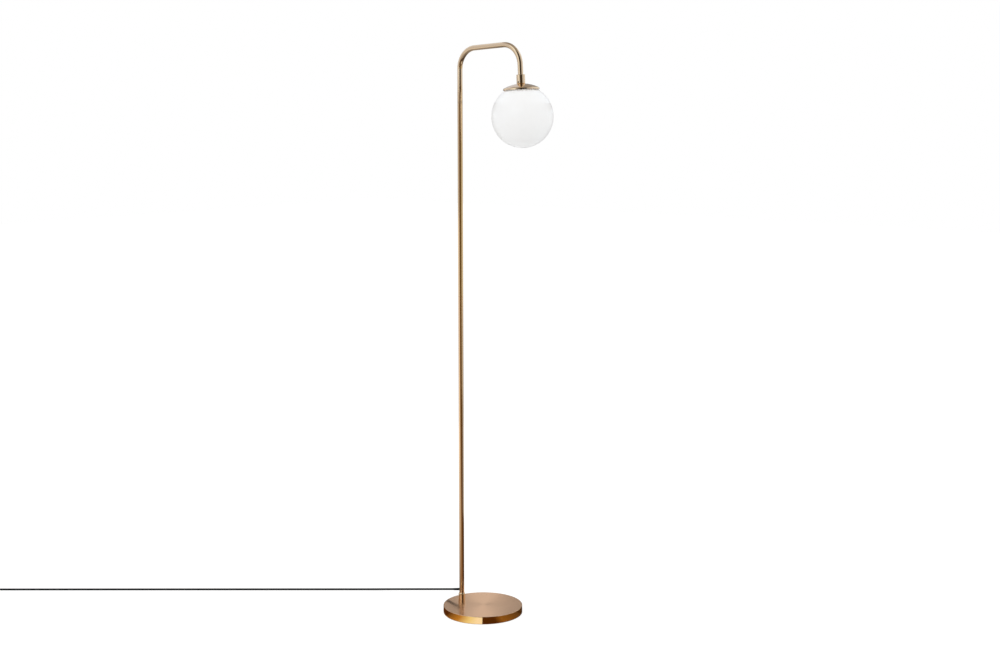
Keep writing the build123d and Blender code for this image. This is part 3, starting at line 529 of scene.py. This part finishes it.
def card(name, first, last, places, shares):
    """A stage strip between pairs of places, which glows from one colour to another by each place's share."""
    mesh = bpy.data.meshes.new(name)
    pairs = len(places) // 2
    faces = [(2 * pair, 2 * pair + 1, 2 * pair + 3, 2 * pair + 2) for pair in range(pairs - 1)]
    mesh.from_pydata(places, [], faces)
    mesh.attributes.new("share", "FLOAT", "POINT").data.foreach_set("value", shares)
    strip = bpy.data.objects.new(name, mesh)
    bpy.context.scene.collection.objects.link(strip)
    material = bpy.data.materials.new(name)
    material.use_nodes = True
    tree = material.node_tree
    tree.nodes.clear()
    share = tree.nodes.new("ShaderNodeAttribute")
    share.attribute_name = "share"
    mix = tree.nodes.new("ShaderNodeMix")
    mix.data_type = "RGBA"
    mix.inputs[COLOUR_A].default_value = (*first, 1)
    mix.inputs[COLOUR_B].default_value = (*last, 1)
    glow = tree.nodes.new("ShaderNodeEmission")
    out = tree.nodes.new("ShaderNodeOutputMaterial")
    tree.links.new(share.outputs["Fac"], mix.inputs["Factor"])
    tree.links.new(mix.outputs[COLOUR_RESULT], glow.inputs["Color"])
    tree.links.new(glow.outputs[0], out.inputs["Surface"])
    mesh.materials.append(material)
    strip.visible_camera = False
    strip.visible_diffuse = False
    strip.visible_transmission = False
    strip.visible_volume_scatter = False
    strip.visible_shadow = False


def arc(start, end):
    """Shares from 0 to 1 with the angles in degrees they stand for, each a step or less apart."""
    steps = max(1, round((end - start) / ARC_STEP))
    return [(step / steps, start + (end - start) * step / steps) for step in range(steps + 1)]


def wall(name, first, last, start, end, distance, low, high):
    """An upright card round the lamp, whose colour goes along it from angle to angle."""
    places = []
    shares = []
    for share, angle in arc(start, end):
        places.append(from_camera(radians(angle), distance, low))
        places.append(from_camera(radians(angle), distance, high))
        shares += [share, share]
    card(name, first, last, places, shares)


def edge_card(name, first, last, start, end):
    """A card on the floor close round the base, whose colour goes along it from angle to angle."""
    places = []
    shares = []
    for share, angle in arc(start, end):
        places.append(from_camera(radians(angle), EDGE_INNER, EDGE_LIFT))
        places.append(from_camera(radians(angle), EDGE_OUTER, EDGE_LIFT))
        shares += [share, share]
    card(name, first, last, places, shares)


def floor_card(name, near, far, start, end, inner, outer, height=FLOOR_LIFT, middle=POLE_X):
    """A level card round the pole, or another middle, between two angles, whose colour goes outwards."""
    centre = Vector((middle, 0, 0))
    places = []
    shares = []
    for _, angle in arc(start, end):
        places.append(centre + from_camera(radians(angle), inner, height))
        places.append(centre + from_camera(radians(angle), outer, height))
        shares += [0.0, 1.0]
    card(name, near, far, places, shares)


def ceiling_card(name, colour, start, end, reach, height):
    """A level card overhead, a part of a disc between two angles."""
    places = []
    shares = []
    for share, angle in arc(start, end):
        places.append(Vector((0, 0, height)))
        places.append(from_camera(radians(angle), reach, height))
        shares += [share, share]
    card(name, colour, colour, places, shares)


def make_cards():
    """The room that the polished brass mirrors: pale and dark walls, a brown floor and bright boxes."""
    wall("wall_left", GREY_WALL, GREY_WALL, -119, -56, LEFT, LEFT_LOW, HEAD_LOW)
    wall("wall_brown", BROWN_CLOTH, BROWN_CLOTH, -56, -9, FAR, 0.0, EYE_TOP)
    wall("wall_olive", OLIVE_CLOTH, OLIVE_CLOTH, -9, 36, FAR, 0.0, EYE_TOP)
    wall("wall_right", PALE_WALL, PALE_WALL, 36, 92, FAR, 0.0, EYE_TOP)
    wall("over_left", BROWN_CLOTH, BROWN_CLOTH, -119, -50, FAR, EYE_TOP, OVER_TOP)
    wall("over_box", BRIGHT_BOX, BRIGHT_BOX, -50, -6, FAR, EYE_TOP, OVER_TOP)
    wall("over_dark", SOOT, SOOT, -6, 92, FAR, EYE_TOP, OVER_TOP)
    wall("back_left", BACK_CLOTH, BACK_CLOTH, 182, 225, BACK, 0.0, BACK_TOP)
    wall("back_box", BACK_BOX, BACK_BOX, 178, 182, BACK, 0.0, BACK_TOP)
    wall("back_right", BACK_CLOTH, BACK_CLOTH, 135, 178, BACK, 0.0, BACK_TOP)
    wall("back_high_left", DOVE_WALL, DOVE_WALL, -180, -120, BACK, BACK_TOP, OVER_TOP)
    wall("back_high_right", DIM_WALL, DIM_WALL, 100, 180, BACK, BACK_TOP, OVER_TOP)
    wall("high_far_left", BRIGHT_BOX, DOVE_WALL, -150, -105, HEAD, HEAD_LOW, CEILING)
    wall("high_left", DOVE_WALL, DOVE_WALL, -105, -66, HEAD, HEAD_LOW, CEILING)
    wall("high_box", BRIGHT_BOX, BRIGHT_BOX, -66, -34, HEAD, HEAD_LOW, CEILING)
    wall("high_middle", SLATE_WALL, ASH, -34, -12, HEAD, HEAD_LOW, CEILING)
    wall("high_dark", SOOT, SOOT, -12, 38, HEAD, HEAD_LOW, CEILING)
    wall("high_right", SLATE_WALL, DOVE_WALL, 38, 66, HEAD, HEAD_LOW, CEILING)
    wall("high_far_right", DOVE_WALL, BRIGHT_BOX, 66, 150, HEAD, HEAD_LOW, CEILING)
    floor_card("floor_left_near", SHADED_FLOOR, PALE_FLOOR, -150, -58, FLOOR_INNER, 0.65)
    floor_card("floor_left_far", PALE_FLOOR, WHITE, -150, -58, 0.65, 1.7)
    floor_card("floor_middle_near", BROWN_FLOOR, TAN_FLOOR, -58, -12, FLOOR_INNER, 0.85)
    floor_card("floor_middle_far", TAN_FLOOR, FAR_FLOOR, -58, -12, 0.85, 3.0)
    floor_card("floor_middle_end", FAR_FLOOR, BROWN_CLOTH, -58, -12, 3.0, FAR)
    floor_card("floor_olive_near", BROWN_FLOOR, OLIVE_FLOOR, -12, 36, FLOOR_INNER, 1.5)
    floor_card("floor_olive_far", OLIVE_FLOOR, OLIVE_CLOTH, -12, 36, 1.5, FAR)
    floor_card("floor_black", BLACK_FLOOR, OLIVE_CLOTH, 36, 65, FLOOR_INNER, 3.0)
    floor_card("floor_black_far", PALE_WALL, PALE_WALL, 36, 65, 3.0, FAR)
    floor_card("floor_right_near", BLACK_FLOOR, BLACK_FLOOR, 65, 140, FLOOR_INNER, 0.9)
    floor_card("floor_right_far", SLATE_WALL, GREY_WALL, 65, 140, 0.9, FAR)
    floor_card("under_arm_left", ASH, GREY_WALL, -180, -50, 0.0, ARM_REACH, ARM_CARD, ARM_MIDDLE)
    floor_card("under_arm_right", ASH, ASH, -50, 180, 0.0, ARM_REACH, ARM_CARD, ARM_MIDDLE)
    ceiling_card("ceiling", DIM_WALL, -180, 180, HEAD, CEILING)
    edge_card("edge_red", RED_EDGE, RED_EDGE, -125, -75)
    edge_card("edge_orange", RED_EDGE, ORANGE_EDGE, -75, -44)
    edge_card("edge_gold", ORANGE_EDGE, GOLD_EDGE, -44, -24)
    edge_card("edge_cream", GOLD_EDGE, CREAM_EDGE, -24, -10)
    edge_card("edge_white", CREAM_EDGE, CREAM_EDGE, -10, -1)
    edge_card("edge_umber", UMBER_EDGE, UMBER_EDGE, -1, 21)
    edge_card("edge_tan", UMBER_EDGE, TAN_EDGE, 21, 34)
    edge_card("edge_dusk", TAN_EDGE, DUSK_EDGE, 34, 78)


# ---------------------------------------------------------------- the lamp
make_camera()
make_world()
make_floor()
make_lamps()
make_cards()
cords = make_cords()
for curve in cords:
    curve.data.materials.append(FINISHES["cord_rubber"])
slots = {entry["node"]: entry["material_slot"] for entry in frame["record"]["subparts"]}
for name, piece in nodes.items():
    dress(piece, NODE_FINISHES.get(name, FINISHES[slots[name]]))
bpy.context.scene.view_settings.view_transform = "Standard"
